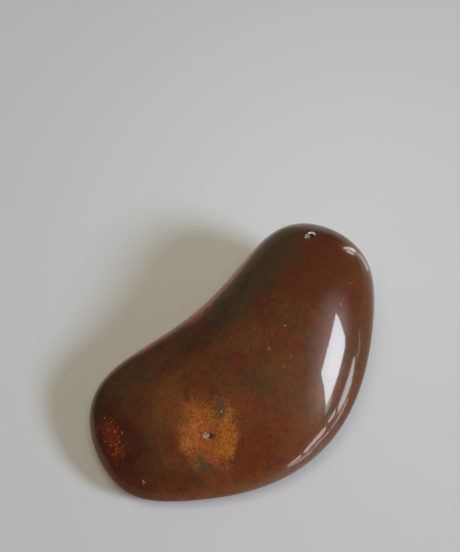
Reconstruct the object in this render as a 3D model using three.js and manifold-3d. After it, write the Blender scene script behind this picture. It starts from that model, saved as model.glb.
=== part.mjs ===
// A polished jasper palm stone: one solid, kidney-shaped pebble lying on its belly.
// Millimetres, +Z up, +X along the stone from its thin end to its thick end.
// The origin is the middle of the footprint, at table height.
import * as THREE from 'three';
import { mergeVertices } from 'three/addons/utils/BufferGeometryUtils.js';
import Module from 'manifold-3d';

// The stone is a unit ball drawn out along X. "s" runs from -1 (thin end) to +1 (thick end).
const HALF_LENGTH = 40;
const HALF_WIDTH = 23;
const HALF_HEIGHT = 14.4;
// Polynomials in s, lowest power first.
const WIDTH_ALONG = [1, -0.095, 0.101, 0.127, -0.23];
const HEIGHT_ALONG = [1, 0.45];
// Sideways bow towards +Y, in mm: the ends curl round and hollow the +Y flank.
const BOW_ALONG = [0, 0, 6.8, 0, -3.65];
// How far the flanks lean to +Y, as a share of the width: the ends lean in more than the middle.
const LEAN_ALONG = [-0.141, -0.09, 0.44, 0.083];
// How much blunter the two ends are than those of an ellipsoid.
const END_BLUNTNESS = 0.25;
// How much narrower the crown and the belly are than a plain ellipse.
const CROWN_PINCH = 0.2;
// How much flatter the crown is than the belly.
const CROWN_SAG = 0.04;
// How far the thick end is lifted above the middle, and the thin end dropped below it.
const RISE = 6.15;
// Roll about X, which lifts the hollow flank.
const ROLL = THREE.MathUtils.degToRad(3.8);
// How much of the belly is worn away to a flat where the stone rests, and how softly it ends.
const WORN_DEPTH = 2.4;
const WORN_BLEND = 1.3;
// Triangles along one edge of the ball's twenty faces, less one.
const BALL_DETAIL = 18;

// Pits, each at a direction on the ball: half-sizes along and across the stone, and depth.
const TIP_DIMPLE = { at: [0.679, 0.41, 0.609], along: 1.3, across: 1.2, depth: 0.65 };
const QUARTZ_PIT = { at: [-0.397, -0.384, 0.834], along: 0.85, across: 0.6, depth: 0.45 };
const PIT_SEGMENTS = 14;
const PIT_RINGS = 8;
// Step on the ball used to find the slope of the surface.
const SLOPE_STEP = 0.004;

const STONE_COLOUR = '#5c3120';
const STONE_ROUGHNESS = 0.18;

function polynomial(terms, s) {
  return terms.reduceRight((sum, term) => sum * s + term, 0);
}

// Carries a point of the unit ball to the stone, before it is settled on the table.
function drawOut(ball) {
  const s = ball.x * (1 + END_BLUNTNESS * (1 - ball.x ** 2));
  const width = HALF_WIDTH * polynomial(WIDTH_ALONG, s);
  const height = HALF_HEIGHT * polynomial(HEIGHT_ALONG, s);
  const pinched = ball.y * (1 - CROWN_PINCH * ball.z ** 2);
  const leaning = polynomial(LEAN_ALONG, s) * ball.y ** 2;
  const across = width * (pinched + leaning);
  const up = height * (ball.z - CROWN_SAG * ball.z ** 2);
  return new THREE.Vector3(
    HALF_LENGTH * s,
    across * Math.cos(ROLL) - up * Math.sin(ROLL) + polynomial(BOW_ALONG, s),
    across * Math.sin(ROLL) + up * Math.cos(ROLL) + RISE * s,
  );
}

// Height above the table of a point that was "depth" above the lowest point of the belly.
function settle(depth) {
  const above = depth - WORN_DEPTH;
  if (above <= -WORN_BLEND) return 0;
  if (above >= WORN_BLEND) return above;
  return (above + WORN_BLEND) ** 2 / (4 * WORN_BLEND);
}

// Applies a function to every vertex of a geometry.
function reshape(geometry, change) {
  const positions = geometry.attributes.position;
  for (let i = 0; i < positions.count; i += 1) {
    const point = new THREE.Vector3().fromBufferAttribute(positions, i);
    const moved = change(point);
    positions.setXYZ(i, moved.x, moved.y, moved.z);
  }
  geometry.computeBoundingBox();
  return geometry;
}

// Drops the parts of a geometry that keep equal corners apart, and joins those corners.
function joined(geometry) {
  geometry.deleteAttribute('normal');
  geometry.deleteAttribute('uv');
  return mergeVertices(geometry, 1e-6);
}

// The pebble, and the function that takes a direction on the ball to a point on the pebble.
function pebble() {
  const body = reshape(joined(new THREE.IcosahedronGeometry(1, BALL_DETAIL)), drawOut);
  const lowest = body.boundingBox.min.z;
  const middle = body.boundingBox.getCenter(new THREE.Vector3());
  const place = (p) => new THREE.Vector3(p.x - middle.x, p.y - middle.y, settle(p.z - lowest));
  reshape(body, place);
  const surface = (ball) => place(drawOut(ball.clone().normalize()));
  return { body, surface };
}

// Two directions square to each other along the surface, and the outward normal.
function surfaceAxes(surface, ball) {
  const centre = surface(ball);
  const sideways = new THREE.Vector3(0, 0, 1).cross(ball).normalize();
  const upward = ball.clone().cross(sideways);
  const a = surface(ball.clone().addScaledVector(sideways, SLOPE_STEP)).sub(centre);
  const b = surface(ball.clone().addScaledVector(upward, SLOPE_STEP)).sub(centre);
  const normal = a.clone().cross(b).normalize();
  const along = new THREE.Vector3(1, 0, 0).projectOnPlane(normal).normalize();
  const across = normal.clone().cross(along);
  return new THREE.Matrix4().makeBasis(along, across, normal).setPosition(centre);
}

// A half-sunk lens: what is scooped out of the surface to leave a pit.
function pitCutter(surface, pit) {
  const lens = joined(new THREE.SphereGeometry(1, PIT_SEGMENTS, PIT_RINGS));
  lens.scale(pit.along, pit.across, pit.depth);
  const ball = new THREE.Vector3(...pit.at).normalize();
  lens.applyMatrix4(surfaceAxes(surface, ball));
  return lens;
}

const wasm = await Module();
wasm.setup();

function toSolid(geometry) {
  const vertProperties = new Float32Array(geometry.attributes.position.array);
  const triVerts = new Uint32Array(geometry.index.array);
  return new wasm.Manifold(new wasm.Mesh({ numProp: 3, vertProperties, triVerts }));
}

function fromSolid(solid) {
  const mesh = solid.getMesh();
  const geometry = new THREE.BufferGeometry();
  geometry.setAttribute('position', new THREE.BufferAttribute(mesh.vertProperties, 3));
  geometry.setIndex(new THREE.BufferAttribute(mesh.triVerts, 1));
  geometry.computeVertexNormals();
  return geometry;
}

function stoneMaterial() {
  return new THREE.MeshStandardMaterial({
    name: 'jasper',
    color: STONE_COLOUR,
    roughness: STONE_ROUGHNESS,
    metalness: 0,
  });
}

function jasperStone() {
  const { body, surface } = pebble();
  let solid = toSolid(body);
  for (const pit of [TIP_DIMPLE, QUARTZ_PIT]) {
    solid = solid.subtract(toSolid(pitCutter(surface, pit)));
  }
  const stone = new THREE.Mesh(fromSolid(solid), stoneMaterial());
  stone.name = 'jasper_stone';
  return stone;
}

const part = new THREE.Group();
part.name = 'jasper_palm_stone';
part.add(jasperStone());

export default part;
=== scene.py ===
# %% [markdown]
# # A polished jasper palm stone
# One pebble of red-brown jasper, ground smooth and polished until it mirrors the room.
# This lesson builds it in Blender in the same order as a stone gets its looks: first the
# form, then the pits that polishing leaves open, then the colours inside the rock, and
# last a plain table and soft studio light. All sizes are in metres.

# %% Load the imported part
import math
import random

import bmesh
import bpy
from mathutils import Matrix, Vector, noise
from mathutils.bvhtree import BVHTree


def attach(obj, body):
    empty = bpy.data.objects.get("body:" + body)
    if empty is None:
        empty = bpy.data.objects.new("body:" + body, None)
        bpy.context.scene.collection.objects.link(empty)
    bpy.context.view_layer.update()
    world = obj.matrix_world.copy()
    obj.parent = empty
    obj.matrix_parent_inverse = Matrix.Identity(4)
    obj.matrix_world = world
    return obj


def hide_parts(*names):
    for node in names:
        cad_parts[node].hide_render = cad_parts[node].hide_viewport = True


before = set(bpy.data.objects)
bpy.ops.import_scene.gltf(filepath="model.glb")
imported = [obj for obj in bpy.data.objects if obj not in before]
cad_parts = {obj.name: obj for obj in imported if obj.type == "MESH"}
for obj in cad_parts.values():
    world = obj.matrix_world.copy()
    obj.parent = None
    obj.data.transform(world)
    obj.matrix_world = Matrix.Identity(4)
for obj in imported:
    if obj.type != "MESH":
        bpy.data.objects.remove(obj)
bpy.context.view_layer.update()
MM = 0.001

# %% [markdown]
# ## Sums as nodes
# The form and the colours of the stone both follow rules, and Blender keeps a rule as a
# tree of nodes. A sum written with Math nodes one by one is long to read. This small
# helper stands for a number flowing through a tree: adding or multiplying two of them
# adds the Math node, so the rule can be written as plain arithmetic.

# %% A number that flows through a node tree
class Flow:
    def __init__(self, tree, socket):
        self.tree = tree
        self.socket = socket

    def math(self, operation, *others, swap=False):
        node = self.tree.nodes.new("ShaderNodeMath")
        node.operation = operation
        values = [*others, self] if swap else [self, *others]
        for socket, value in zip(node.inputs, values):
            plug(self.tree, value, socket)
        return Flow(self.tree, node.outputs[0])

    def __add__(self, other):
        return self.math("ADD", other)

    def __sub__(self, other):
        return self.math("SUBTRACT", other)

    def __rsub__(self, other):
        return self.math("SUBTRACT", other, swap=True)

    def __mul__(self, other):
        return self.math("MULTIPLY", other)

    __radd__ = __add__
    __rmul__ = __mul__


def plug(tree, value, socket):
    """Links a flow or a socket to an input, or sets the input to a plain value."""
    if isinstance(value, Flow):
        value = value.socket
    if isinstance(value, bpy.types.NodeSocket):
        tree.links.new(value, socket)
    else:
        socket.default_value = value


def add_node(tree, kind, inputs=(), **settings):
    """Adds a node, sets its options, and plugs in its inputs by name or number."""
    node = tree.nodes.new(kind)
    for name, value in settings.items():
        setattr(node, name, value)
    for name, value in dict(inputs).items():
        plug(tree, value, node.inputs[name])
    return node


# %% [markdown]
# ## The form of the stone
# A tumbled stone has no flat and no straight edge, yet it isn't a ball: this one is a
# kidney, low and thin at one end, tall and fat at the other, hollowed along one flank.
# It could be sculpted by hand, but then every bulge is a matter of luck. Here a fine ball
# is drawn out by a short rule instead. `s` runs from -1 at the thin end to +1 at the thick
# end, and each size of the stone is a polynomial in `s`. The same rule made the packed
# part, so the two agree. A Geometry Nodes tree holds it, with every size a named input.

# %% Sizes of the stone
STONE_SIZES = {
    "Half length": 40 * MM,
    "Half width": 23 * MM,
    "Half height": 14.4 * MM,
    "Rise": 6.15 * MM,
    "Bow": 6.8 * MM,
    "Bow at the tips": -3.65 * MM,
    "Roll": math.radians(3.8),
    "End bluntness": 0.25,
    "Crown pinch": 0.2,
    "Crown sag": 0.04,
    "Taper": 0.45,
    "Worn depth": 2.4 * MM,
    "Worn blend": 1.3 * MM,
    "Polish waves": 0.05 * MM,
    "Wave length": 9 * MM,
}
# Polynomials in s, lowest power first: the width, and how far the flanks lean to +Y.
WIDTH_ALONG = [1, -0.095, 0.101, 0.127, -0.23]
LEAN_ALONG = [-0.141, -0.09, 0.44, 0.083]
BALL_FINENESS = 7
print("the stone has", len(STONE_SIZES), "sizes that a maker can change")


# %% The rule that draws the ball out into the stone
def polynomial(terms, s):
    total = terms[-1]
    for term in reversed(terms[:-1]):
        total = total * s + term
    return total


def drawn_out(ball, size):
    """The place on the stone of a point on the unit ball, before it is settled."""
    x, y, z = ball
    s = x * (1 + size["End bluntness"] * (1 - x * x))
    width = size["Half width"] * polynomial(WIDTH_ALONG, s)
    height = size["Half height"] * (1 + size["Taper"] * s)
    pinched = y * (1 - size["Crown pinch"] * (z * z))
    across = width * (pinched + polynomial(LEAN_ALONG, s) * (y * y))
    up = height * (z - size["Crown sag"] * (z * z))
    cos = size["Roll"].math("COSINE")
    sin = size["Roll"].math("SINE")
    bow = s * s * (size["Bow"] + size["Bow at the tips"] * (s * s))
    return (
        size["Half length"] * s,
        across * cos - up * sin + bow,
        across * sin + up * cos + size["Rise"] * s,
    )


def settled(depth, size):
    """Wears the belly flat: the height above the table of a point of that depth."""
    blend = size["Worn blend"]
    above = depth - size["Worn depth"]
    lifted = (above + blend).math("MAXIMUM", 0.0).math("MINIMUM", 2 * blend)
    return lifted * lifted * (4 * blend).math("DIVIDE", 1.0, swap=True) + (above - blend).math(
        "MAXIMUM", 0.0
    )


# %% The Geometry Nodes tree
def xyz(tree, socket):
    node = add_node(tree, "ShaderNodeSeparateXYZ", {0: socket})
    return [Flow(tree, output) for output in node.outputs]


def moved_to(tree, mesh, position):
    place = add_node(tree, "ShaderNodeCombineXYZ", {i: v for i, v in enumerate(position)})
    node = add_node(
        tree, "GeometryNodeSetPosition", {"Geometry": mesh, "Position": place.outputs[0]}
    )
    return node.outputs[0]


def stone_tree(sizes, material):
    tree = bpy.data.node_groups.new("stone form", "GeometryNodeTree")
    for name, value in sizes.items():
        socket = tree.interface.new_socket(name, in_out="INPUT", socket_type="NodeSocketFloat")
        socket.default_value = value
    tree.interface.new_socket("Stone", in_out="OUTPUT", socket_type="NodeSocketGeometry")
    inputs = tree.nodes.new("NodeGroupInput")
    size = {name: Flow(tree, inputs.outputs[name]) for name in sizes}
    position = tree.nodes.new("GeometryNodeInputPosition").outputs[0]

    ball = add_node(
        tree, "GeometryNodeMeshIcoSphere", {"Radius": 1.0, "Subdivisions": BALL_FINENESS}
    )
    stone = moved_to(tree, ball.outputs[0], drawn_out(xyz(tree, position), size))

    box = add_node(tree, "GeometryNodeBoundBox", {"Geometry": stone})
    low = xyz(tree, box.outputs["Min"])
    high = xyz(tree, box.outputs["Max"])
    x, y, z = xyz(tree, position)
    middle = [(a + b) * 0.5 for a, b in zip(low[:2], high[:2])]
    stone = moved_to(tree, stone, [x - middle[0], y - middle[1], settled(z - low[2], size)])

    stone = waved(tree, stone, size, position)
    smooth = add_node(tree, "GeometryNodeSetShadeSmooth", {"Geometry": stone})
    real = add_node(tree, "GeometryNodeRealizeInstances", {"Geometry": smooth.outputs[0]})
    dressed = add_node(
        tree, "GeometryNodeSetMaterial", {"Geometry": real.outputs[0], "Material": material}
    )
    output = tree.nodes.new("NodeGroupOutput")
    tree.links.new(dressed.outputs[0], output.inputs[0])
    return tree


# %% [markdown]
# No hand polish is optically true. Slow waves of a few hundredths of a millimetre stay in
# the surface, and they are what makes a window's mirror image wobble on real stone. They
# fade out at the table, so that the worn belly stays flat.

# %% Waves left by the polishing
WAVE_FADE_HEIGHT = 1.5 * MM
WAVE_NOISE = {"Detail": 1.0, "Roughness": 0.4}


def waved(tree, stone, size, position):
    waves_per_metre = size["Wave length"].math("DIVIDE", 1.0, swap=True)
    pattern = add_node(
        tree,
        "ShaderNodeTexNoise",
        {"Vector": position, "Scale": waves_per_metre, **WAVE_NOISE},
    )
    height = (Flow(tree, pattern.outputs[0]) - 0.5) * size["Polish waves"]
    above = xyz(tree, position)[2] * (1 / WAVE_FADE_HEIGHT)
    height = height * above.math("MINIMUM", 1.0)
    normal = tree.nodes.new("GeometryNodeInputNormal").outputs[0]
    push = add_node(tree, "ShaderNodeVectorMath", {0: normal}, operation="SCALE")
    plug(tree, height, push.inputs["Scale"])
    node = add_node(
        tree, "GeometryNodeSetPosition", {"Geometry": stone, "Offset": push.outputs[0]}
    )
    return node.outputs[0]


# %% [markdown]
# A tree only describes the stone. To hold it in the hand, the tree runs once on an empty
# mesh, its inputs are set, and its result is kept as a plain mesh. From then on the stone
# can be cut like any other mesh, and nothing in the file has to run again.

# %% Grow the stone from its tree
def piece_from_tree(name, tree, values):
    """Runs a tree on an empty mesh, sets its inputs, and returns its result as a plain mesh."""
    piece = bpy.data.objects.new(name, bpy.data.meshes.new(name))
    bpy.context.scene.collection.objects.link(piece)
    maker = piece.modifiers.new(name, "NODES")
    maker.node_group = tree
    for socket in tree.interface.items_tree:
        if socket.in_out == "INPUT" and socket.name in values:
            maker[socket.identifier] = values[socket.name]
    graph = bpy.context.evaluated_depsgraph_get()
    mesh = bpy.data.meshes.new_from_object(piece.evaluated_get(graph))
    piece.modifiers.remove(maker)
    piece.data = mesh
    return piece


jasper = bpy.data.materials.new("jasper")
stone = piece_from_tree("polished_stone", stone_tree(STONE_SIZES, jasper), STONE_SIZES)
print("the stone has", len(stone.data.polygons), "faces before it is pitted")

# %% [markdown]
# ## Pits
# Polishing never closes a hole: where a grain broke out or a bubble of quartz was cut
# open, a small scoop stays. Painting them dark would look wrong as soon as light grazes
# them, so they are cut out of the mesh. Each cutter is a lumpy lens sunk half-way into the
# surface. Two pits are large enough to name, some pin-pricks stand where the stone shows
# them, and a seeded scatter gives the rest of the surface a few more.

# %% Lumpy lenses that cut the pits
LUMP_SIZE = 0.22
LUMPS_PER_RADIUS = 1.7
CUTTER_FINENESS = 3


def surface_spot(target):
    """The nearest point of the stone to a rough place, and the direction out of the stone."""
    _, spot, normal, _ = stone.closest_point_on_mesh(Vector(target) * MM)
    return spot, normal


def add_lens(bm, target, half_sizes, fineness=CUTTER_FINENESS, turn=0.0):
    """Adds a lumpy lens to bm: half-sizes along X, across and in depth, in mm."""
    spot, normal = surface_spot(target)
    along = Vector((1, 0, 0))
    along = (along - along.dot(normal) * normal).normalized()
    across = normal.cross(along)
    axes = Matrix((along, across, normal)).transposed().to_4x4()
    place = Matrix.Translation(spot) @ axes @ Matrix.Rotation(turn, 4, "Z")
    made = bmesh.ops.create_icosphere(bm, subdivisions=fineness, radius=1.0)
    for vertex in made["verts"]:
        lump = noise.noise(vertex.co * LUMPS_PER_RADIUS + Vector(target))
        shaped = vertex.co * (1 + LUMP_SIZE * lump)
        shaped = Vector([a * b * MM for a, b in zip(shaped, half_sizes)])
        vertex.co = place @ shaped


# %% Where the pits lie
# A rough place in mm, from which the nearest spot of the surface is taken, and for the two
# large pits the half-sizes along X, across and in depth.
TIP_DIMPLE = {"target": (30.6, 11.4, 29.7), "half_sizes": (1.3, 1.15, 0.6)}
QUARTZ_PIT = {"target": (-19.0, -6.0, 18.2), "half_sizes": (0.85, 0.6, 0.4)}
PIN_PRICKS = [
    (9.8, -0.9, 28.9),
    (6.8, -0.5, 28.3),
    (4.5, -1.3, 27.6),
    (3.6, -2.4, 27.1),
    (6.0, -7.6, 26.4),
    (3.6, -7.8, 25.7),
    (23.3, -6.6, 28.8),
    (-13.3, -4.5, 21.0),
    (25.1, 6.2, 31.4),
    (31.9, 10.4, 30.0),
    (31.6, 9.9, 30.1),
]
PRICK_SIZES = (0.13, 0.24)
PRICK_LENGTHS = (0.9, 1.6)
PRICK_DEPTH = 0.7
PRICK_FINENESS = 2
SCATTERED_PRICKS = 34
SCATTER_SEED = 11
SCATTER_FLOOR = 2.0 * MM
print("pits and pin-pricks to cut:", 2 + len(PIN_PRICKS) + SCATTERED_PRICKS)


# %% Place the cutters
def pit_cutters():
    bm = bmesh.new()
    for pit in (TIP_DIMPLE, QUARTZ_PIT):
        add_lens(bm, **pit)
    dice = random.Random(SCATTER_SEED)
    spots = list(PIN_PRICKS)
    faces = stone.data.polygons
    while len(spots) < len(PIN_PRICKS) + SCATTERED_PRICKS:
        centre = faces[dice.randrange(len(faces))].center
        if centre.z > SCATTER_FLOOR:
            spots.append(tuple(centre / MM))
    for spot in spots:
        wide = dice.uniform(*PRICK_SIZES)
        long = wide * dice.uniform(*PRICK_LENGTHS)
        turn = dice.uniform(0, math.pi)
        add_lens(bm, spot, (long, wide, wide * PRICK_DEPTH), PRICK_FINENESS, turn)
    mesh = bpy.data.meshes.new("pit cutters")
    bm.to_mesh(mesh)
    bm.free()
    cutters = bpy.data.objects.new("pit_cutters", mesh)
    bpy.context.scene.collection.objects.link(cutters)
    return cutters


# %% [markdown]
# The cutters are subtracted by a Boolean modifier, and its result is kept as the mesh. Two
# things are then put right. Where a cutter only just touches the surface, corners lie
# almost on each other, so they are merged. And the rims of the pits stay sharp, while the
# rest of the stone is smooth.

# %% Cut the pits
SHARP_RIM = math.radians(28)
FULL_PIT_DEPTH = 0.06 * MM
SLIVER = 0.002 * MM


def merge_slivers(mesh):
    """Cutting leaves corners that almost touch. This merges them, and drops flat faces."""
    bm = bmesh.new()
    bm.from_mesh(mesh)
    bmesh.ops.remove_doubles(bm, verts=bm.verts, dist=SLIVER)
    bmesh.ops.dissolve_degenerate(bm, edges=bm.edges, dist=SLIVER)
    print("open edges on the cut stone:", sum(len(edge.link_faces) != 2 for edge in bm.edges))
    bm.to_mesh(mesh)
    bm.free()


def skin_of(mesh):
    """A search tree over the faces of a mesh."""
    bm = bmesh.new()
    bm.from_mesh(mesh)
    skin = BVHTree.FromBMesh(bm)
    bm.free()
    return skin


def cut_pits():
    skin = skin_of(stone.data)
    cutters = pit_cutters()
    cut = stone.modifiers.new("pits", "BOOLEAN")
    cut.operation = "DIFFERENCE"
    cut.solver = "EXACT"
    cut.object = cutters
    graph = bpy.context.evaluated_depsgraph_get()
    mesh = bpy.data.meshes.new_from_object(stone.evaluated_get(graph))
    stone.modifiers.remove(cut)
    stone.data = mesh
    bpy.data.objects.remove(cutters)
    merge_slivers(mesh)
    mesh.materials.clear()
    mesh.materials.append(jasper)
    for face in mesh.polygons:
        face.use_smooth = True
    mesh.set_sharp_from_angle(angle=SHARP_RIM)
    # How deep each corner lies under the polished skin, from 0 to 1, for the colours to use.
    pitted = mesh.attributes.new("pitted", "FLOAT", "POINT")
    for vertex, depth in zip(mesh.vertices, pitted.data):
        distance = skin.find_nearest(vertex.co)[3]
        depth.value = min(distance / FULL_PIT_DEPTH, 1.0)
    return sum(depth.value > 0.5 for depth in pitted.data)


print("corners inside pits:", cut_pits())
print("with its pits the stone has", len(stone.data.polygons), "faces")

# %% [markdown]
# ## The colours inside the rock
# Jasper is fine quartz coloured by iron: red where the iron rusted dry, olive and brown
# where it stayed wet, ochre where it is rich. The colours lie in clouds with soft, ragged
# edges, and within each cloud the rock is grainy. So the colour is built the same way,
# from the Object coordinates of the stone: wide clouds of noise first, then clouds that
# stand in known places, then mottling of a millimetre or two, then grain of a third of one.

# %% Noise, steps and paint
tree = None


def use_new_shader(owner):
    """Empties the tree of a material or world, and makes it the one that the helpers use."""
    global tree
    owner.use_nodes = True
    tree = owner.node_tree
    tree.nodes.clear()


def object_place():
    return tree.nodes.new("ShaderNodeTexCoord").outputs["Object"]


def shifted_place(shift):
    """Object coordinates moved some metres away, so that no two noises look alike."""
    node = add_node(
        tree, "ShaderNodeMapping", {"Vector": object_place(), "Location": (shift,) * 3}
    )
    return node.outputs[0]


def clouds(size_mm, detail, roughness, shift=0.0):
    """Soft noise from about 0.3 to 0.7, with lumps of about that size."""
    node = add_node(
        tree,
        "ShaderNodeTexNoise",
        {
            "Vector": shifted_place(shift),
            "Scale": 1 / (size_mm * MM),
            "Detail": detail,
            "Roughness": roughness,
        },
    )
    return Flow(tree, node.outputs[0])


def step_between(value, low, high):
    """0 below low, 1 above high, and a smooth slope between."""
    node = add_node(
        tree,
        "ShaderNodeMapRange",
        {"Value": value, "From Min": low, "From Max": high},
        interpolation_type="SMOOTHSTEP",
    )
    return Flow(tree, node.outputs[0])


RAGGED_NOISE = {"Detail": 3.0, "Roughness": 0.6}


def ragged_place(size_mm, reach_mm):
    """Object coordinates pushed about by noise, which makes a round cloud's edge ragged."""
    place = object_place()
    node = add_node(
        tree,
        "ShaderNodeTexNoise",
        {"Vector": place, "Scale": 1 / (size_mm * MM), **RAGGED_NOISE},
    )
    centred = add_node(
        tree,
        "ShaderNodeVectorMath",
        {0: node.outputs["Color"], 1: (0.5, 0.5, 0.5)},
        operation="SUBTRACT",
    )
    push = add_node(
        tree,
        "ShaderNodeVectorMath",
        {0: centred.outputs[0], "Scale": 2 * reach_mm * MM},
        operation="SCALE",
    )
    moved = add_node(
        tree, "ShaderNodeVectorMath", {0: place, 1: push.outputs[0]}, operation="ADD"
    )
    return moved.outputs[0]


# %% Shapes to paint with
def egg(centre, reach, where, turn=0.0):
    """1 in the middle of an egg-shaped region, falling to 0 at its skin. Sizes in mm."""
    place = add_node(
        tree,
        "ShaderNodeMapping",
        {
            "Vector": where,
            "Location": [v * MM for v in centre],
            "Rotation": (0.0, 0.0, math.radians(turn)),
            "Scale": [v * MM for v in reach],
        },
        vector_type="TEXTURE",
    )
    ball = add_node(
        tree, "ShaderNodeTexGradient", {"Vector": place.outputs[0]}, gradient_type="SPHERICAL"
    )
    return Flow(tree, ball.outputs["Fac"])


def cloud_at(centre, reach, where, turn=0.0, edge=0.6):
    """A soft cloud: 1 over its heart, 0 outside the egg."""
    return step_between(egg(centre, reach, where, turn), 0.0, edge)


def painted(below, colour, mask, blend="MIX"):
    """Lays a colour over another where the mask says."""
    node = add_node(
        tree, "ShaderNodeMix", {"Factor": mask}, data_type="RGBA", blend_type=blend
    )
    for paint, socket in ((below, node.inputs[6]), (colour, node.inputs[7])):
        plug(tree, paint if isinstance(paint, bpy.types.NodeSocket) else (*paint, 1.0), socket)
    return node.outputs[2]


def specks(spacing_mm, share, radius, shift):
    """Round specks: one at most in each cell of the spacing, and only in that share of cells.

    The radius is a share of the spacing.
    """
    cells = add_node(
        tree,
        "ShaderNodeTexVoronoi",
        {"Vector": shifted_place(shift), "Scale": 1 / (spacing_mm * MM)},
    )
    lot = add_node(tree, "ShaderNodeSeparateColor", {"Color": cells.outputs["Color"]})
    picked = Flow(tree, lot.outputs[0]).math("LESS_THAN", share)
    wide = Flow(tree, lot.outputs[1]) * radius + radius * 0.5
    near = Flow(tree, cells.outputs["Distance"]).math("DIVIDE", wide)
    return step_between(near, 1.0, 0.5) * picked


# %% [markdown]
# The base is a warm red-brown that drifts towards brown and olive. Over it lie the clouds
# that make this stone this stone: the olive band along the hollow flank, the ochre heart
# near the thin end, the maroon end itself. Their places are pushed about by noise, so no
# cloud shows its egg shape.

# %% Colours of the rock
RED_BROWN = (0.137, 0.035, 0.011)
WARM_BROWN = (0.127, 0.047, 0.015)
OLIVE = (0.087, 0.048, 0.017)
DARK_OLIVE = (0.082, 0.056, 0.025)
END_BROWN = (0.060, 0.025, 0.013)
FLANK_BROWN = (0.093, 0.044, 0.018)
OLIVE_BROWN = (0.145, 0.057, 0.018)
CLEAR_RED = (0.196, 0.046, 0.012)
MAROON = (0.068, 0.0125, 0.0042)
EMBER = (0.275, 0.042, 0.008)
BRICK_RED_AND_RIM_SHEEN = (0.470, 0.074, 0.042)
SPOT_RED = (0.300, 0.055, 0.020)
TIP_RED = (0.118, 0.0245, 0.0085)
DUSK_RED = (0.085, 0.020, 0.006)
RED_SHADE = (0.148, 0.032, 0.008)
FOOT_RED_AND_BOUNCE = (0.250, 0.054, 0.013)
FOOT_BROWN = (0.230, 0.068, 0.017)
GOLD_OCHRE = (0.380, 0.122, 0.016)


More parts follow.
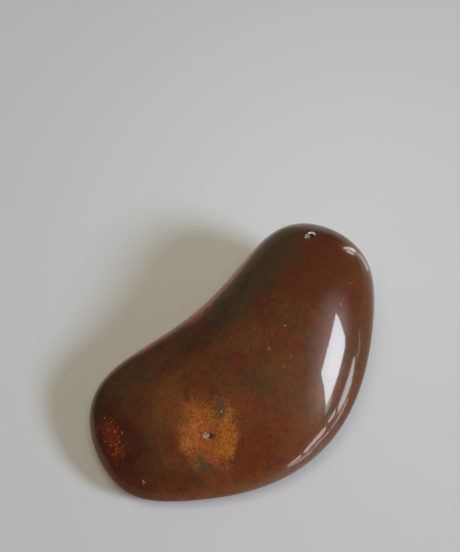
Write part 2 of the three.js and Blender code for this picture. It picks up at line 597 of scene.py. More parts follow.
# %% Clouds in known places
PLACED_CLOUDS = [
    # colour, centre in mm, reach in mm, turn in degrees, strength
    # The far corner of the thin end, and the flank beside it.
    (END_BROWN, (-26.5, 10, 16.3), (6, 5, 5), 0, 0.3),
    (END_BROWN, (-29, 20, 12), (9, 7, 8), 0, 0.85),
    (FLANK_BROWN, (-19, 19, 16.5), (14, 8, 8), 0, 0.9),
    (END_BROWN, (-15.2, 12.5, 20.1), (4.5, 3.5, 4), 0, 0.25),
    (END_BROWN, (-23, 16.8, 16.4), (4, 3.5, 4), 0, 0.2),
    (FLANK_BROWN, (-23.5, 21, 14.5), (6, 2.5, 4), -15, 0.35),
    # Olive along the hollow flank and round the far side of the thick tip.
    (FLANK_BROWN, (-3, 15.5, 21.5), (11, 8, 9), -4, 0.9),
    (DARK_OLIVE, (7, 14.5, 24.5), (12, 9, 9), 6, 0.95),
    (DARK_OLIVE, (17, 16, 26), (11, 9, 9), 12, 0.9),
    (DARK_OLIVE, (26, 17, 27), (9, 6.5, 9), 0, 0.9),
    (DARK_OLIVE, (18, 11.5, 29), (11, 5, 7), 20, 0.65),
    (END_BROWN, (-5, 11.6, 23.2), (15, 3.6, 5), -7, 0.35),
    (END_BROWN, (13, 7.5, 28.8), (12, 4, 6), 0, 0.2),
    (OLIVE_BROWN, (-1, 17.5, 20.5), (8, 3, 5), -5, 0.3),
    (OLIVE_BROWN, (-10.5, 5, 23), (3.5, 3.5, 4), 0, 0.35),
    # Olive-brown in the middle of the crown, and low on the near side of it.
    (OLIVE_BROWN, (1, -8.5, 24.5), (9, 7, 7), 20, 0.55),
    (OLIVE_BROWN, (2, 2.5, 27), (7, 5, 6), -30, 0.6),
    (OLIVE, (-3, -5.5, 24.5), (5, 4.5, 5), -45, 0.7),
    (OLIVE_BROWN, (-21, 6, 18), (7, 4, 6), 30, 0.5),
    (OLIVE, (-30, 4.5, 14.5), (5, 4, 5), 0, 0.45),
    # Reds and browns beside the heart and along the low near side.
    (CLEAR_RED, (-8.5, -6.5, 22), (5, 4.5, 5), 0, 0.5),
    (CLEAR_RED, (-7, -12, 21), (5, 4, 5), 0, 0.25),
    (OLIVE_BROWN, (2, -15, 22), (10, 6, 7), 15, 0.45),
    (CLEAR_RED, (-13.3, -10, 19.3), (3.5, 3.5, 4), 0, 0.35),
    (CLEAR_RED, (-24, -12, 13.2), (7, 4, 5), -40, 0.35),
    (CLEAR_RED, (-26.3, -5.5, 15), (4, 3, 4), 0, 0.35),
    (CLEAR_RED, (-4, -18.5, 18), (10, 6, 7), 12, 0.3),
    (CLEAR_RED, (9, -16, 20), (9, 5, 7), 20, 0.3),
    (FOOT_BROWN, (-1, -20.5, 17.8), (9, 5, 6), 10, 0.22),
    (FOOT_BROWN, (5.5, -9, 25.7), (4, 3.5, 4), 0, 0.12),
    (DUSK_RED, (-13.5, -18.5, 14.3), (5, 3.5, 4), -30, 0.3),
    (DUSK_RED, (-35, 1, 11), (9, 8, 7), -30, 0.85),
    (RED_SHADE, (-13.5, -15.5, 16.2), (11, 6, 7), 25, 0.85),
    # A breath of ochre beyond the heart, and the brighter foot of the near side: red rock,
    # lightened as painted light bounced up from the table.
    (GOLD_OCHRE, (-20.5, 7.5, 19), (9, 4.5, 6), 20, 0.16),
    (FOOT_RED_AND_BOUNCE, (-20, -15.5, 5), (27, 9.5, 7), -33, 0.85),
    (FOOT_BROWN, (-12, -22, 8.5), (15, 6, 7), -24, 0.4),
    (FOOT_BROWN, (-22.5, -17, 9.5), (8, 4, 5), -40, 0.4),
    (RED_SHADE, (-15.3, -18, 14), (4.5, 3.5, 4), -30, 0.35),
    (DUSK_RED, (-30, -6.5, 11.5), (8, 4.5, 4.5), -33, 0.5),
    # Maroon at the thin end, with an ember glow along its edge.
    (MAROON, (-34, 8.5, 12.5), (7.5, 12, 9), 0, 0.9),
    (OLIVE_BROWN, (-33, -0.4, 12.7), (4, 4, 5), 0, 0.2),
    (END_BROWN, (-29.8, 15.5, 13.5), (5, 5, 5), 0, 0.35),
    (MAROON, (-29.5, 16.5, 13.8), (4, 4, 4), 0, 0.35),
    (OLIVE, (-32.5, 6.5, 13.8), (4, 4.5, 4), 0, 0.22),
    (EMBER, (-34.6, 10.8, 12.2), (2.4, 7.5, 4), -26, 0.4),
    # Purer red on the tip, with a breath of olive towards the hollow flank.
    (TIP_RED, (26, 2.5, 31), (15, 11, 10), 0, 0.7),
    (DARK_OLIVE, (23.5, 9.8, 30.4), (6, 4, 5), 40, 0.4),
    (MAROON, (34.2, 8.3, 29.6), (4, 4, 4), 0, 0.45),
    (MAROON, (25, -6.5, 28.6), (5, 4, 5), -50, 0.25),
    (OLIVE, (12.5, -2, 29.2), (6, 4, 5), -40, 0.3),
    (TIP_RED, (25.5, -6.3, 28.5), (5, 4, 5), -60, 0.6),
    (SPOT_RED, (16.0, -4.2, 29.4), (1.7, 1.3, 1.8), -40, 0.25),
    # A brick-red seam low on the hollow flank's rim: red rock, brightened as painted sheen.
    (BRICK_RED_AND_RIM_SHEEN, (-9, 22.4, 14.8), (10, 3.6, 5), -8, 0.8),
    (BRICK_RED_AND_RIM_SHEEN, (4.0, 20.3, 18.6), (11, 5.0, 6.0), 4, 0.95),
    (BRICK_RED_AND_RIM_SHEEN, (15, 20.5, 21.0), (9, 3.2, 4.4), 10, 0.8),
]
print("clouds in known places:", len(PLACED_CLOUDS))


# %% Wide clouds first, then the known ones over them
# Noises are written as lump size in mm, detail, roughness and shift.
BROWN_DRIFT = (6, 4, 0.6)
WET_DRIFT = (8, 4, 0.65, 3.1)
WET_STRENGTH = 0.5
# Lump size and reach in mm of what pushes the clouds' edges about.
CLOUD_EDGES = (3.5, 2.6)


def rock_colour():
    where = ragged_place(*CLOUD_EDGES)
    drift = step_between(clouds(*BROWN_DRIFT), 0.38, 0.62)
    colour = painted(RED_BROWN, WARM_BROWN, drift)
    wet = step_between(clouds(*WET_DRIFT), 0.5, 0.7)
    colour = painted(colour, OLIVE, wet * WET_STRENGTH)
    for paint, centre, reach, turn, strength in PLACED_CLOUDS:
        colour = painted(colour, paint, cloud_at(centre, reach, where, turn) * strength)
    return colour


use_new_shader(jasper)
colour = rock_colour()
print("nodes for the clouds:", len(tree.nodes))

# %% [markdown]
# The ochre heart is the part the eye goes to. It isn't a flat patch: grains of orange lie
# thick in the middle and thin out into the brown, a golden streak runs down its near side,
# and dark red grains are scattered through it. Its mask is the egg field multiplied by two
# sizes of noise, so the edge breaks up into grains.

# %% The ochre heart
OCHRE = (0.355, 0.099, 0.020)
PALE_OCHRE = (0.420, 0.150, 0.034)
GRAIN_RED = (0.130, 0.025, 0.008)
# Centre and reach in mm. All lie along the same line, turned this many degrees from X.
ALONG_HEART = 46
HEART = ((-19.0, -5.2, 18.6), (11.3, 8.7, 8.7))
STREAK = ((-16.3, -8.3, 18.6), (12.0, 3.6, 8))
PALE_PATCH = ((-21.3, -2.6, 18.2), (7.0, 3.2, 5))
RUST_PATCH = ((-17.8, -6.4, 18.6), (6.5, 2.2, 5))
DUSTING = ((-20.4, 1.6, 19.0), (5, 3.6, 5))
SHOULDER_LUMPS = [((-13.2, -2.7, 21.4), (3.0, 2.2, 3)), ((-23.4, -9.4, 14.9), (3.9, 2.9, 3))]
ALONG_SHOULDER = 40
HEART_EDGES = (5.0, 3.4)
STREAK_EDGES = (2.2, 2.0)
# The two noises that break the heart up into grains, and the one that shades them.
FINE_BREAKS = (0.8, 3, 0.75, 4.4)
WIDE_BREAKS = (2.6, 3, 0.6, 9.2)
HEART_GRAIN = (0.62, 2, 0.6, 5.9)
DARK_GRAIN = (0.74, 0.63, 0.6)
LIGHT_GRAIN = (1.26, 1.3, 1.4)
# Specks are written as spacing in mm, share of the cells, radius and shift.
RED_GRAINS = (0.95, 0.34, 0.34, 2.2)


def heart_colour(colour):
    where = ragged_place(*HEART_EDGES)
    field = egg(*HEART, where, ALONG_HEART)
    streak = egg(*STREAK, ragged_place(*STREAK_EDGES), ALONG_HEART)
    field = field.math("MAXIMUM", streak * 0.9)
    # Stretched noise cuts the field into grains, which thin out towards its edge.
    broken = field * (clouds(*FINE_BREAKS) * 3.4 - 0.7)
    broken = broken * (clouds(*WIDE_BREAKS) * 2.0)
    ochre = step_between(broken, 0.02, 0.56)
    colour = painted(colour, OCHRE, ochre * 0.95)
    colour = painted(colour, GOLD_OCHRE, step_between(streak, 0.0, 0.5) * ochre * 0.95)
    pale = cloud_at(*PALE_PATCH, where, ALONG_HEART) * ochre
    colour = painted(colour, PALE_OCHRE, pale * 0.7)
    colour = painted(colour, CLEAR_RED, cloud_at(*RUST_PATCH, where, ALONG_HEART) * 0.35)
    colour = painted(colour, OCHRE, cloud_at(*DUSTING, where, ALONG_HEART) * 0.36)
    for centre, reach in SHOULDER_LUMPS:
        lump = cloud_at(centre, reach, where, ALONG_SHOULDER)
        colour = painted(colour, DARK_OLIVE, lump * 0.8)
    grains = clouds(*HEART_GRAIN)
    colour = painted(colour, DARK_GRAIN, step_between(grains, 0.48, 0.32) * ochre, "MULTIPLY")
    colour = painted(colour, LIGHT_GRAIN, step_between(grains, 0.54, 0.7) * ochre, "MULTIPLY")
    return painted(colour, GRAIN_RED, specks(*RED_GRAINS) * ochre * 0.45)


colour = heart_colour(colour)
print("with the heart:", len(tree.nodes))

# %% [markdown]
# Between the clouds the rock is mottled: lumps of a millimetre or more lean towards red,
# olive or plum, and a finer grain makes them lighter and darker, cooler and warmer. All of
# it stays faint. Last come the bright specks: orange and gold at the thin end, salmon over
# the crown, and a pale or orange fleck beside the pin-pricks that broke a grain open.

# %% Mottling and grain
MOTTLING = [
    # noise, where its tint begins and is full, and what that multiplies the colour by
    ((2.6, 4, 0.62, 7.7), (0.5, 0.34), (0.84, 0.99, 0.97)),  # leans to olive
    ((2.6, 4, 0.62, 7.7), (0.5, 0.68), (1.22, 0.98, 0.95)),  # leans to red
    ((3.4, 4, 0.6, 6.3), (0.5, 0.66), (0.92, 0.80, 1.12)),  # leans to plum
    ((1.2, 4, 0.62, 2.9), (0.5, 0.32), (0.82, 0.80, 0.82)),  # darker lumps
    ((0.36, 3, 0.75, 12.6), (0.5, 0.34), (0.95, 1.12, 1.3)),  # cooler grain
    ((0.36, 3, 0.75, 12.6), (0.5, 0.66), (1.08, 0.88, 0.72)),  # warmer grain
    ((0.42, 3, 0.7, 1.3), (0.5, 0.34), (0.79, 0.76, 0.76)),  # darker grain
    ((0.42, 3, 0.7, 1.3), (0.52, 0.68), (1.30, 1.28, 1.25)),  # lighter grain
]
# The thick tip is the purest part of the stone: the mottling fades out towards it.
CALM_TIP = ((31, 5, 30), (19, 19, 19))
CALMING = 0.6


def mottled(colour):
    calm = 1.0 - cloud_at(*CALM_TIP, object_place()) * CALMING
    for lumps, (begins, full), tint in MOTTLING:
        mask = step_between(clouds(*lumps), begins, full) * calm
        colour = painted(colour, tint, mask, "MULTIPLY")
    return colour


colour = mottled(colour)
print("with the mottling:", len(tree.nodes))

# %% Specks and flecks
ORANGE_SPECK = (0.750, 0.270, 0.050)
EMBER_SPECK = (0.800, 0.200, 0.030)
GOLD_SPECK = (0.900, 0.370, 0.055)
SALMON_SPECK = (0.450, 0.210, 0.110)
PIT_CREAM = (0.620, 0.470, 0.310)
EMBER_SPECKS = (0.45, 0.6, 0.24, 3.3)
GOLD_SPECKS = (0.75, 0.5, 0.19, 9.7)
HEART_SPECKS = (0.8, 0.2, 0.2, 6.1)
SALMON_SPECKS = (1.15, 0.13, 0.12, 5.1)
EMBER_ZONE = ((-34.6, 10.8, 12.2), (2.6, 8.0, 5))
EMBER_TURN = -26
EMBER_EDGE = 0.35
HEART_SPECK_REACH = (13, 11, 11)
FLECK_EDGES = (0.6, 0.9)
FLECK_STRENGTH = 0.85
FLECKS = [
    # place in mm, half-width in mm, colour
    ((9.9, -1.35, 28.9), 0.42, SALMON_SPECK),
    ((6.8, -0.5, 28.3), 0.32, SALMON_SPECK),
    ((4.5, -1.3, 27.6), 0.36, SALMON_SPECK),
    ((3.6, -2.4, 27.1), 0.36, SALMON_SPECK),
    ((6.0, -7.6, 26.4), 0.4, ORANGE_SPECK),
    ((3.6, -7.8, 25.7), 0.32, SALMON_SPECK),
    ((23.3, -6.6, 28.8), 0.34, SALMON_SPECK),
    ((28.8, -4.4, 29.1), 0.4, ORANGE_SPECK),
    ((-13.3, -4.5, 21.0), 0.32, PIT_CREAM),
    ((-35.9, -1.5, 10.5), 0.4, ORANGE_SPECK),
    ((-36.25, -1.7, 10.2), 0.3, ORANGE_SPECK),
    ((-35.4, -1.1, 10.9), 0.3, SALMON_SPECK),
    ((-31.6, 11.7, 13.8), 0.3, ORANGE_SPECK),
    ((-31.9, 10.1, 13.9), 0.3, ORANGE_SPECK),
    ((25.1, 6.2, 31.4), 0.5, GRAIN_RED),
]


def specked(colour):
    place = object_place()
    embers = cloud_at(*EMBER_ZONE, place, EMBER_TURN, EMBER_EDGE)
    colour = painted(colour, EMBER_SPECK, specks(*EMBER_SPECKS) * embers * 0.9)
    colour = painted(colour, GOLD_SPECK, specks(*GOLD_SPECKS) * embers)
    near_heart = cloud_at(HEART[0], HEART_SPECK_REACH, place)
    colour = painted(colour, ORANGE_SPECK, specks(*HEART_SPECKS) * near_heart * 0.45)
    colour = painted(colour, SALMON_SPECK, specks(*SALMON_SPECKS) * 0.5)
    chipped = ragged_place(*FLECK_EDGES)
    for centre, half_width, paint in FLECKS:
        fleck = cloud_at(centre, (half_width,) * 3, chipped)
        colour = painted(colour, paint, fleck * FLECK_STRENGTH)
    return colour


colour = specked(colour)
print("with specks and flecks:", len(tree.nodes))

# %% [markdown]
# A pit was never touched by the polishing wheel. Inside it the rock is rough and has no
# mirror film, and painted shade darkens it. The mesh knows how deep each of its corners lies
# under the polished skin, so that depth picks the painted shade, roughness and film, and the
# painted grey sheen in the tip's dimple. The dimple on the tip has a painted highlight, a
# white crescent, on its far rim, and the pit in the heart is half cream quartz and half in
# painted shadow.

# %% What the pits look like inside
PIT_PAINTED_SHADE = (0.050, 0.032, 0.020)
SHEEN_GREY = (0.300, 0.300, 0.270)
PIT_BUFF = (0.270, 0.180, 0.100)
GLINT_WHITE = (0.800, 0.800, 0.780)
# Centre and reach in mm. The painted highlight is a crescent: a ball with a second ball taken
# away.
DIMPLE_SHEEN = ((30.15, 11.8, 29.5), (1.05, 0.95, 1.2))
DIMPLE_GLINT = ((31.3, 11.4, 29.5), (1.0, 1.0, 1.7))
DIMPLE_GLINT_HOLLOW = ((30.7, 11.25, 29.6), (1.08, 1.08, 1.7))
PIT_SHADOW = ((-18.4, -6.7, 18.3), (0.9, 0.8, 1.2))
PIT_QUARTZ = ((-19.5, -5.55, 18.0), (1.05, 0.9, 1.3))
SHEEN_TURN = -40
QUARTZ_TURN = -42
PIT_SHADOW_EDGES = (0.6, 0.15)
QUARTZ_EDGES = (0.7, 1.5)
CRYSTALS = (0.35, 2, 0.6, 2.7)


def pit_depth():
    node = add_node(tree, "ShaderNodeAttribute", attribute_name="pitted")
    return Flow(tree, node.outputs["Fac"])


def with_pits(colour, deep):
    place = object_place()
    # Painted shade: each pit is darker the deeper it lies.
    colour = painted(colour, PIT_PAINTED_SHADE, step_between(deep, 0.0, 1.0) * 0.7)
    # A painted reflection: a grey sheen inside the tip's dimple.
    grey_sheen = cloud_at(*DIMPLE_SHEEN, place, SHEEN_TURN, edge=0.3)
    colour = painted(colour, SHEEN_GREY, grey_sheen * deep)
    # A painted highlight: a white crescent on the far rim of the tip's dimple.
    glint = step_between(egg(*DIMPLE_GLINT, place), 0.0, 0.1)
    glint = glint * step_between(egg(*DIMPLE_GLINT_HOLLOW, place), 0.08, 0.0)
    colour = painted(colour, GLINT_WHITE, glint)
    # Painted shadow over one half of the heart's pit.
    pit_shadow = cloud_at(*PIT_SHADOW, ragged_place(*PIT_SHADOW_EDGES), edge=0.5)
    colour = painted(colour, PIT_PAINTED_SHADE, pit_shadow * 0.75)
    quartz = cloud_at(*PIT_QUARTZ, ragged_place(*QUARTZ_EDGES), QUARTZ_TURN, edge=0.4)
    crystals = step_between(clouds(*CRYSTALS), 0.4, 0.6)
    return painted(colour, painted(PIT_BUFF, PIT_CREAM, crystals), quartz * 0.9)


deep = pit_depth()
colour = with_pits(colour, deep)
print("with the pits:", len(tree.nodes))

# %% [markdown]
# The polish on a grainy rock is never perfect. Looked at from the front it mirrors about half
# as much as glass would, and only along the rim, where the eye grazes it, does it mirror in
# full. Hence the thin bright line around the stone.

# %% The polished surface
MIRROR_SHARE = 0.5
# From the first to the second, the surface is seen ever more from the side.
GRAZING = (0.74, 0.95)
SMOOTHEST = 0.21
WEAR = 0.12
PIT_ROUGHNESS = 0.5
PIT_FILM_LOSS = 0.9
WEAR_PATCHES = (1.5, 3, 0.6, 5.5)
POLISH_GRAIN = (0.3, 3, 0.6, 8.1)
POLISH_RELIEF = 0.01 * MM
RELIEF_STRENGTH = 0.25
STONE_GLOSS = 0.14
FILM_ROUGHNESS = 0.03
FILM_INDEX = 1.5

facing = Flow(tree, add_node(tree, "ShaderNodeLayerWeight", {"Blend": 0.5}).outputs["Facing"])
mirror = step_between(facing, *GRAZING) * (1 - MIRROR_SHARE) + MIRROR_SHARE
relief = add_node(
    tree,
    "ShaderNodeBump",
    {"Height": clouds(*POLISH_GRAIN), "Strength": RELIEF_STRENGTH, "Distance": POLISH_RELIEF},
)
surface = add_node(
    tree,
    "ShaderNodeBsdfPrincipled",
    {
        "Base Color": colour,
        "Roughness": clouds(*WEAR_PATCHES) * WEAR + SMOOTHEST + deep * PIT_ROUGHNESS,
        "Specular IOR Level": STONE_GLOSS,
        "Coat Weight": mirror * (1.0 - deep * PIT_FILM_LOSS),
        "Coat Roughness": FILM_ROUGHNESS,
        "Coat IOR": FILM_INDEX,
        "Normal": relief.outputs[0],
    },
)
jasper_output = tree.nodes.new("ShaderNodeOutputMaterial")
tree.links.new(surface.outputs[0], jasper_output.inputs[0])
print("the jasper is made of", len(tree.nodes), "nodes")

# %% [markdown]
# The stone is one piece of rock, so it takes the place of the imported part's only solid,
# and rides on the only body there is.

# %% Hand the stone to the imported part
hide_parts("jasper_stone")
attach(stone, "root")
print("the packed jasper_stone is replaced by", stone.name)

# %% [markdown]
# ## Table, light and camera
# The stone lies on a plain pale table in a dim room, lit from one side by a window. Most
# places in this part are easier to think of as the camera sees them, to the right or away,
# than along X and Y. So a direction is given by how far it is turned from the camera's
# right, and how high it points.

# %% Directions as the camera sees them
LOOK_TURN = math.radians(46.29)
IMAGE_RIGHT = Vector((math.sin(LOOK_TURN), -math.cos(LOOK_TURN), 0))
IMAGE_AWAY = Vector((math.cos(LOOK_TURN), math.sin(LOOK_TURN), 0))


def direction(azimuth, elevation):
    """A direction: azimuth 0 is to the right of the camera, 90 away from it."""
    a = math.radians(azimuth)
    e = math.radians(elevation)
    flat = IMAGE_RIGHT * math.cos(a) + IMAGE_AWAY * math.sin(a)
    return flat * math.cos(e) + Vector((0, 0, math.sin(e)))


print("the camera's right points along", [round(v, 2) for v in IMAGE_RIGHT])

# %% [markdown]
# The table is one flat face. Two things about it are worked out one by one. A wide soft pool
# of paler colour stands for the light that a real window spreads unevenly. And a polished
# stone shows the table twice: below it, and again as a mirror image along its rim. So the
# table has a second set of colours that only mirror reflections see, with light and shade
# painted in: painted shade on the camera's side, painted light beyond the stone and in one
# patch in front of it, and painted shade again where the hollow flank mirrors the table.

# %% The table
TABLE_SIDE = 3.0
TABLE_COLOUR = (0.680, 0.678, 0.678)
POOL_COLOUR = (0.839, 0.839, 0.850)
POOL_CENTRE = (50, 18, 0)
POOL_REACH = 115
TABLE_ROUGHNESS = 0.6
TABLE_GLOSS = 0.1
# What the polish mirrors of the table, with painted shade and light in it,
# and where along MIRRORED_AIM it turns from painted shade to bright.
MIRRORED_SHADED = (0.50, 0.365, 0.26)
MIRRORED_FAR = (0.97, 0.90, 0.84)
MIRRORED_LIGHT_PATCH = (0.98, 0.93, 0.88)
LIGHT_PATCH_PLACE = (-8.8, -49.7, 0)
LIGHT_PATCH_REACH = 36
MIRRORED_AIM = direction(115, 0)
MIRRORED_TURNS = (-15 * MM, 27 * MM)
# To the left of SHADE_EDGE, the mirrored table is shaded again past SHADE_START.
SHADE_EDGE = (-10 * MM, 6 * MM)
SHADE_START = (95 * MM, 50 * MM)


def table_colour():
    pool = egg(POOL_CENTRE, (POOL_REACH,) * 3, object_place())
    seen = painted(TABLE_COLOUR, POOL_COLOUR, pool)
    x, y, _ = xyz(tree, object_place())
    far = x * MIRRORED_AIM.x + y * MIRRORED_AIM.y
    lit = step_between(x * IMAGE_RIGHT.x + y * IMAGE_RIGHT.y, *SHADE_EDGE)
    lit = lit.math("MAXIMUM", step_between(far, *SHADE_START))
    beyond = step_between(far, *MIRRORED_TURNS) * lit
    # What the polish mirrors: painted shade, painted light beyond the stone, and a painted light
    # patch.
    mirrored = painted(MIRRORED_SHADED, MIRRORED_FAR, beyond)
    light_patch = cloud_at(LIGHT_PATCH_PLACE, (LIGHT_PATCH_REACH,) * 3, object_place())
    mirrored = painted(mirrored, MIRRORED_LIGHT_PATCH, light_patch)
    ray = tree.nodes.new("ShaderNodeLightPath")
    return painted(seen, mirrored, ray.outputs["Is Glossy Ray"])


def table():
    half = TABLE_SIDE / 2
    mesh = bpy.data.meshes.new("table")
    mesh.from_pydata(
        [(-half, -half, 0), (half, -half, 0), (half, half, 0), (-half, half, 0)],
        [],
        [(0, 1, 2, 3)],
    )
    top = bpy.data.objects.new("table", mesh)
    bpy.context.scene.collection.objects.link(top)
    material = bpy.data.materials.new("table")
    use_new_shader(material)
    plain = add_node(
        tree,
        "ShaderNodeBsdfPrincipled",
        {
            "Base Color": table_colour(),
            "Roughness": TABLE_ROUGHNESS,
            "Specular IOR Level": TABLE_GLOSS,
        },
    )
    output = tree.nodes.new("ShaderNodeOutputMaterial")
    tree.links.new(plain.outputs[0], output.inputs[0])
    mesh.materials.append(material)
    print("the table is", TABLE_SIDE, "m wide")


table()

# %% [markdown]
# The camera looks down at the stone from about sixty degrees, as a person does who holds a
# camera over a table. A long lens keeps the stone free of distortion. It aims past the
# stone, so that the stone lies low in the frame with bare table above it.

# %% The camera
CAMERA_PLACE = Vector((-113.29, -111.6, 363.36)) * MM
CAMERA_TARGET = Vector((20.22, 28.05, 0.0)) * MM
CAMERA_LENS = 104.35
CAMERA_NEAR = 0.01

camera_data = bpy.data.cameras.new("camera")
camera_data.lens = CAMERA_LENS
camera_data.clip_start = CAMERA_NEAR
camera = bpy.data.objects.new("camera", camera_data)
camera.location = CAMERA_PLACE
camera.rotation_euler = (CAMERA_TARGET - CAMERA_PLACE).to_track_quat("-Z", "Y").to_euler()
bpy.context.scene.collection.objects.link(camera)
bpy.context.scene.camera = camera
print("the camera stands", round(CAMERA_PLACE.length, 3), "m away")

# %% [markdown]
# The shadow is the measure for the lights. Inside it the table keeps six tenths of its
# brightness and turns warm, so the window gives four tenths, and that light is bluish. The
# rest comes from a soft warm light high above, leaning to the camera's side: from there it
# reaches every bit of table that the camera sees, right up to the foot of the stone. The
# room itself adds a little. None of the three shows in the polish: what shows there is
# made on its own, further down.

# %% Key light, fill light and room
KEY_DIRECTION = Vector((0.2967, -0.7536, 0.5866))
KEY_DISTANCE = 2.0
KEY_WIDTH = 0.52
KEY_COLOUR = (0.66, 0.80, 1.0)
KEY_POWER = 24.0
FILL_DIRECTION = direction(-90, 77)
FILL_DISTANCE = 2.6
FILL_WIDTH = 1.4
FILL_COLOUR = (1.0, 0.91, 0.72)
FILL_POWER = 24.6
ROOM_COLOUR = (0.12, 0.111, 0.09)
ROOM_MIRRORED = (0.09, 0.09, 0.09)
STONE_MIDDLE = Vector((0, 0, 12)) * MM


def disk_light(name, aim, distance, width, power, colour):
    data = bpy.data.lights.new(name, "AREA")
    data.shape = "DISK"
    data.size = width
    data.energy = power
    data.color = colour
    light = bpy.data.objects.new(name, data)
    light.location = STONE_MIDDLE + aim * distance
    light.rotation_euler = aim.to_track_quat("Z", "Y").to_euler()
    light.visible_glossy = False
    light.visible_camera = False
    bpy.context.scene.collection.objects.link(light)


def room():
    world = bpy.data.worlds.new("room")
    use_new_shader(world)
    ray = tree.nodes.new("ShaderNodeLightPath")
    colour = painted(ROOM_COLOUR, ROOM_MIRRORED, ray.outputs["Is Glossy Ray"])
    background = add_node(tree, "ShaderNodeBackground", {"Color": colour})
    output = tree.nodes.new("ShaderNodeOutputWorld")
    tree.links.new(background.outputs[0], output.inputs[0])
    bpy.context.scene.world = world


disk_light("window light", KEY_DIRECTION, KEY_DISTANCE, KEY_WIDTH, KEY_POWER, KEY_COLOUR)
disk_light("fill light", FILL_DIRECTION, FILL_DISTANCE, FILL_WIDTH, FILL_POWER, FILL_COLOUR)
room()
# Standard keeps the colours as they are set, without a film's curve.
bpy.context.scene.view_settings.view_transform = "Standard"
print("lights:", [light.name for light in bpy.data.lights])

# %% [markdown]
# What makes a polished stone look polished is the sharp mirror image in it. Building
# the room would be slow and hard to adjust, so the mirror image is made with cards, as a
# studio does it: flat glowing shapes, each placed where a mirror ray from the stone meets
# it. Only mirror reflections see them, so they light nothing and throw no shadow. The
# largest is the window; soft round ones are the haze of its curtain; the small upright ones
# are its sill, and a second window behind the thick end.

# %% Cards for the mirror images
def glowing_card(name, corners, colour, strength, soft_reach=None):
    """A card that only mirror reflections see. With a reach, its glow fades to its edge."""
    mesh = bpy.data.meshes.new(name)
    mesh.from_pydata(corners, [], [tuple(range(len(corners)))])
    card = bpy.data.objects.new(name, mesh)
    bpy.context.scene.collection.objects.link(card)
    material = bpy.data.materials.new(name)
    use_new_shader(material)
    if soft_reach:
        middle = sum((Vector(corner) for corner in corners), Vector()) / len(corners)
        field = egg(middle / MM, (soft_reach / MM,) * 3, object_place())
        strength = step_between(field, 0.0, 1.0) * strength
    glow = add_node(
        tree, "ShaderNodeEmission", {"Color": (*colour, 1.0), "Strength": strength}
    )
    output = tree.nodes.new("ShaderNodeOutputMaterial")
    if soft_reach:
        # A haze adds its glow to whatever stands behind it.
        clear = tree.nodes.new("ShaderNodeBsdfTransparent")
        glow = add_node(tree, "ShaderNodeAddShader", {0: glow.outputs[0], 1: clear.outputs[0]})
    tree.links.new(glow.outputs[0], output.inputs[0])
    mesh.materials.append(material)
    card.visible_camera = False
    card.visible_diffuse = False
    card.visible_shadow = False
    card.visible_transmission = False


# %% The window in the polish
# The spot on the stone that mirrors the window, and the window's corners as seen from it.
WINDOW_SPOT = Vector((13.3, -14, 24.4)) * MM
WINDOW_DISTANCE = 1.2
WINDOW_VIEWS = [
    (-12.2, 48.6),
    (-12.7, 29.0),
    (-14.5, 25.9),
    (-22.2, 26.6),
    (-36.0, 25.7),
    (-37.5, 46.2),
]
# Below the window the light fades on its lowest bar.
FOOT_VIEWS = [(-37.2, 25.6), (-29.5, 25.9), (-32, 20.5), (-36.5, 19)]
WINDOW_LIGHT = (0.78, 0.92, 1.0)

for name, views, strength in (("window", WINDOW_VIEWS, 27.0), ("window_foot", FOOT_VIEWS, 7.0)):
    corners = [WINDOW_SPOT + direction(*view) * WINDOW_DISTANCE for view in views]
    glowing_card(name, corners, WINDOW_LIGHT, strength)
print("the window has", len(WINDOW_VIEWS), "corners")

# %% The glow of the curtain
# The faint glow of the window's curtain: two soft patches, the directions they are seen in
# from the near side of the stone, and their strengths.
HAZES = {"haze_high": ((-19, 57), 1.6), "haze_low": ((-31, 40), 1.5)}
HAZE_DISTANCE = 1.4
HAZE_REACH = 0.5
HAZE_CORNERS = 24
HAZE_LIGHT = (0.85, 0.93, 1.0)


def haze(name, view, strength):
    """A soft round glow, as seen from the near side of the stone."""
    aim = direction(*view)
    middle = WINDOW_SPOT + aim * HAZE_DISTANCE
    aside = aim.orthogonal().normalized()
    upward = aim.cross(aside)
    corners = []
    for i in range(HAZE_CORNERS):
        turn = math.tau * i / HAZE_CORNERS
        spoke = aside * math.cos(turn) + upward * math.sin(turn)
        corners.append(middle + spoke * HAZE_REACH)
    glowing_card(name, corners, HAZE_LIGHT, strength, HAZE_REACH)


for name, (view, strength) in HAZES.items():
    haze(name, view, strength)
print("soft glows beside the window:", len(HAZES))

# %% The sill and the second window in the polish
# The pale sill stands just past the stone, with a ledge in front of it. Its places are mm
# along it, and mm of height.
SILL_DIRECTION = direction(-30, 0)
SILL_FOOT = Vector((13, -14, 0)) * MM
SILL_GAP = 60 * MM
LEDGE_GAP = 40 * MM
SILL_START = SILL_FOOT + SILL_DIRECTION * SILL_GAP
LEDGE_START = SILL_FOOT + SILL_DIRECTION * LEDGE_GAP
SILL_COOL = (0.78, 0.97, 1.0)
SILL_WARM = (0.98, 0.96, 0.93)
SILL_BOARDS_COOL = {
    "sill_board_1": [
        (29, 23.5), (26.5, 27.5), (10, 27), (0.5, 24.6), (-2.2, 21), (-3.2, 12.5), (1, 12),
        (7, 10.8), (17, 12), (24, 17),
    ],
    "sill_board_2": [(-4.5, 25), (-10, 26), (-15, 25.5), (-13.5, 21), (-12, 19.5), (-7, 18.6)],
}
SILL_BOARDS_WARM = {
    "sill_board_3": [
        (-17.5, 15.5), (-16.5, 21.5), (-21.5, 24.4), (-31.4, 24.4), (-36.8, 21.5), (-39.2, 18.5),
        (-40.5, 14.5), (-38, 11), (-35, 10.5), (-32.5, 13.5), (-26.5, 15.5), (-22, 14.5),
    ],
    "sill_board_4": [
        (-42, 16), (-46.5, 15), (-51, 12.5), (-56, 9), (-56, 5.5), (-47, 6.5), (-43, 7.5),
    ],
}
SILL_POST = {"sill_post": [(44, 27), (41, 13), (32, 13), (32, 16), (39, 17), (42, 27)]}
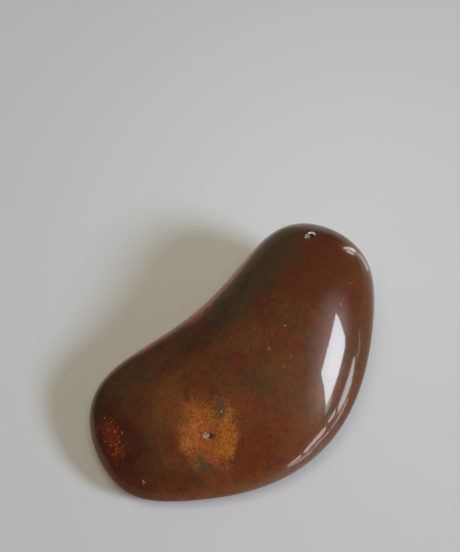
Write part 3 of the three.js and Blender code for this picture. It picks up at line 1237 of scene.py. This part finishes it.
SILL_LEDGES = {
    "sill_ledge_1": [(5.2, 11), (-3.3, 9.4), (-10.5, 9.4), (-10.5, 5), (-1, 4.7), (7, 6)],
    "sill_ledge_2": [
        (-12.5, 10.5), (-16, 10), (-21.5, 12), (-24.5, 9.8), (-24.5, 5), (-18.4, 6.5),
        (-12.5, 4.8),
    ],
    "sill_ledge_3": [
        (-25.5, 9.2), (-31.6, 8.2), (-36, 7), (-44, 8), (-44, 1), (-36, 0.6), (-25.5, 0.6),
    ],
}
# A second window past the thick tip is cut in two by its frame, with a long streak of sill.
TIP_DIRECTION = direction(48, 0)
TIP_GAP = 30 * MM
TIP_START = Vector((33, 8, 0)) * MM + TIP_DIRECTION * TIP_GAP
TIP_PANES = {
    "upper_pane": [
        (-0.4, 41.1), (-0.7, 36.9), (-2.5, 30.4), (-4.1, 24.4), (-6.7, 20.6), (-7.6, 27.8),
        (-4.8, 34.9), (-3.0, 40.3),
    ],
    "lower_pane": [
        (-4.3, 41.3), (-5.4, 36.6), (-8.7, 30.7), (-10.5, 25.5), (-9.8, 34.5), (-6.9, 40.5),
    ],
}
TIP_STREAK = {
    "streak_near": [(-6.3, 22), (-9.2, 11.5), (-12.7, 19.6), (-9.2, 26.3)],
    "streak_far": [
        (-9.2, 11.5), (-12.8, 6.6), (-15.9, 4.3), (-19.1, 11.1), (-16.5, 15.2), (-12.7, 19.6),
    ],
}


def boards(start, facing, outlines, light, strength):
    """Upright glowing boards: outlines are mm along the board and mm above the table."""
    along = Vector((0, 0, 1)).cross(facing)
    for name, places in outlines.items():
        corners = [start + along * (u * MM) + Vector((0, 0, z * MM)) for u, z in places]
        glowing_card(name, corners, light, strength)


BOARDS = [
    # where they stand, where they face, outlines, colour of the light, strength
    (SILL_START, SILL_DIRECTION, SILL_BOARDS_COOL, SILL_COOL, 11.0),
    (SILL_START, SILL_DIRECTION, SILL_BOARDS_WARM, SILL_WARM, 11.0),
    (SILL_START, SILL_DIRECTION, SILL_POST, SILL_WARM, 3.6),
    (LEDGE_START, SILL_DIRECTION, SILL_LEDGES, SILL_WARM, 5.0),
    (TIP_START, TIP_DIRECTION, TIP_PANES, SILL_WARM, 9.0),
    (TIP_START, TIP_DIRECTION, TIP_STREAK, SILL_WARM, 2.4),
]
for row in BOARDS:
    boards(*row)
print("boards and panes:", sum(len(row[2]) for row in BOARDS))
